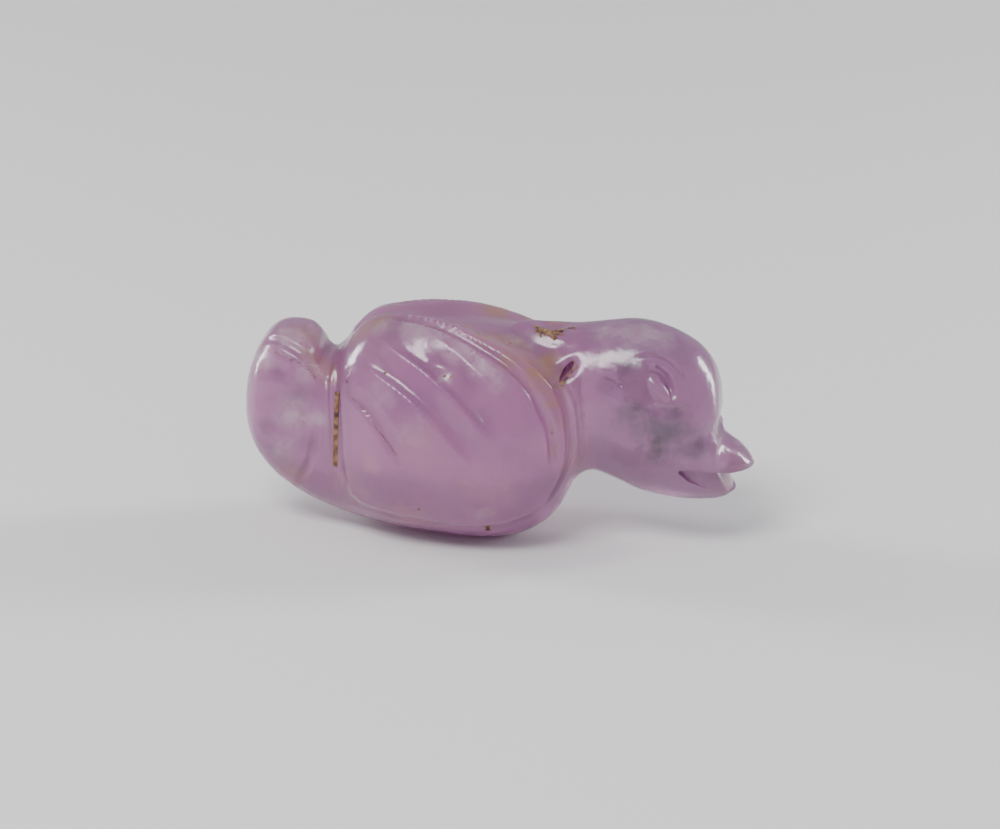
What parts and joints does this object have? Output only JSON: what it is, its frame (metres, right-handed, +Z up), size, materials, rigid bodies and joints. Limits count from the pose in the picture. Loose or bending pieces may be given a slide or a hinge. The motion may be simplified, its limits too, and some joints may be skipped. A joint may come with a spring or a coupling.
{
  "type": "duck amulet",
  "caption": "Small duck amulet of translucent pale violet amethyst, wings folded and tail raised, bored through the neck for a cord.",
  "frame": {"origin": "middle of the small flat spot under the belly on which the amulet rests", "axes": "+Z up, +X from the tail towards the beak, +Y to the duck's left"},
  "size_m": [0.0254, 0.0104, 0.0113],
  "materials": {
    "amethyst": "polished translucent pale violet quartz, satin where worn, clear in the head and milky in the body"
  },
  "bodies": {
    "root": {"duck": "amethyst"}
  },
  "joints": []
}
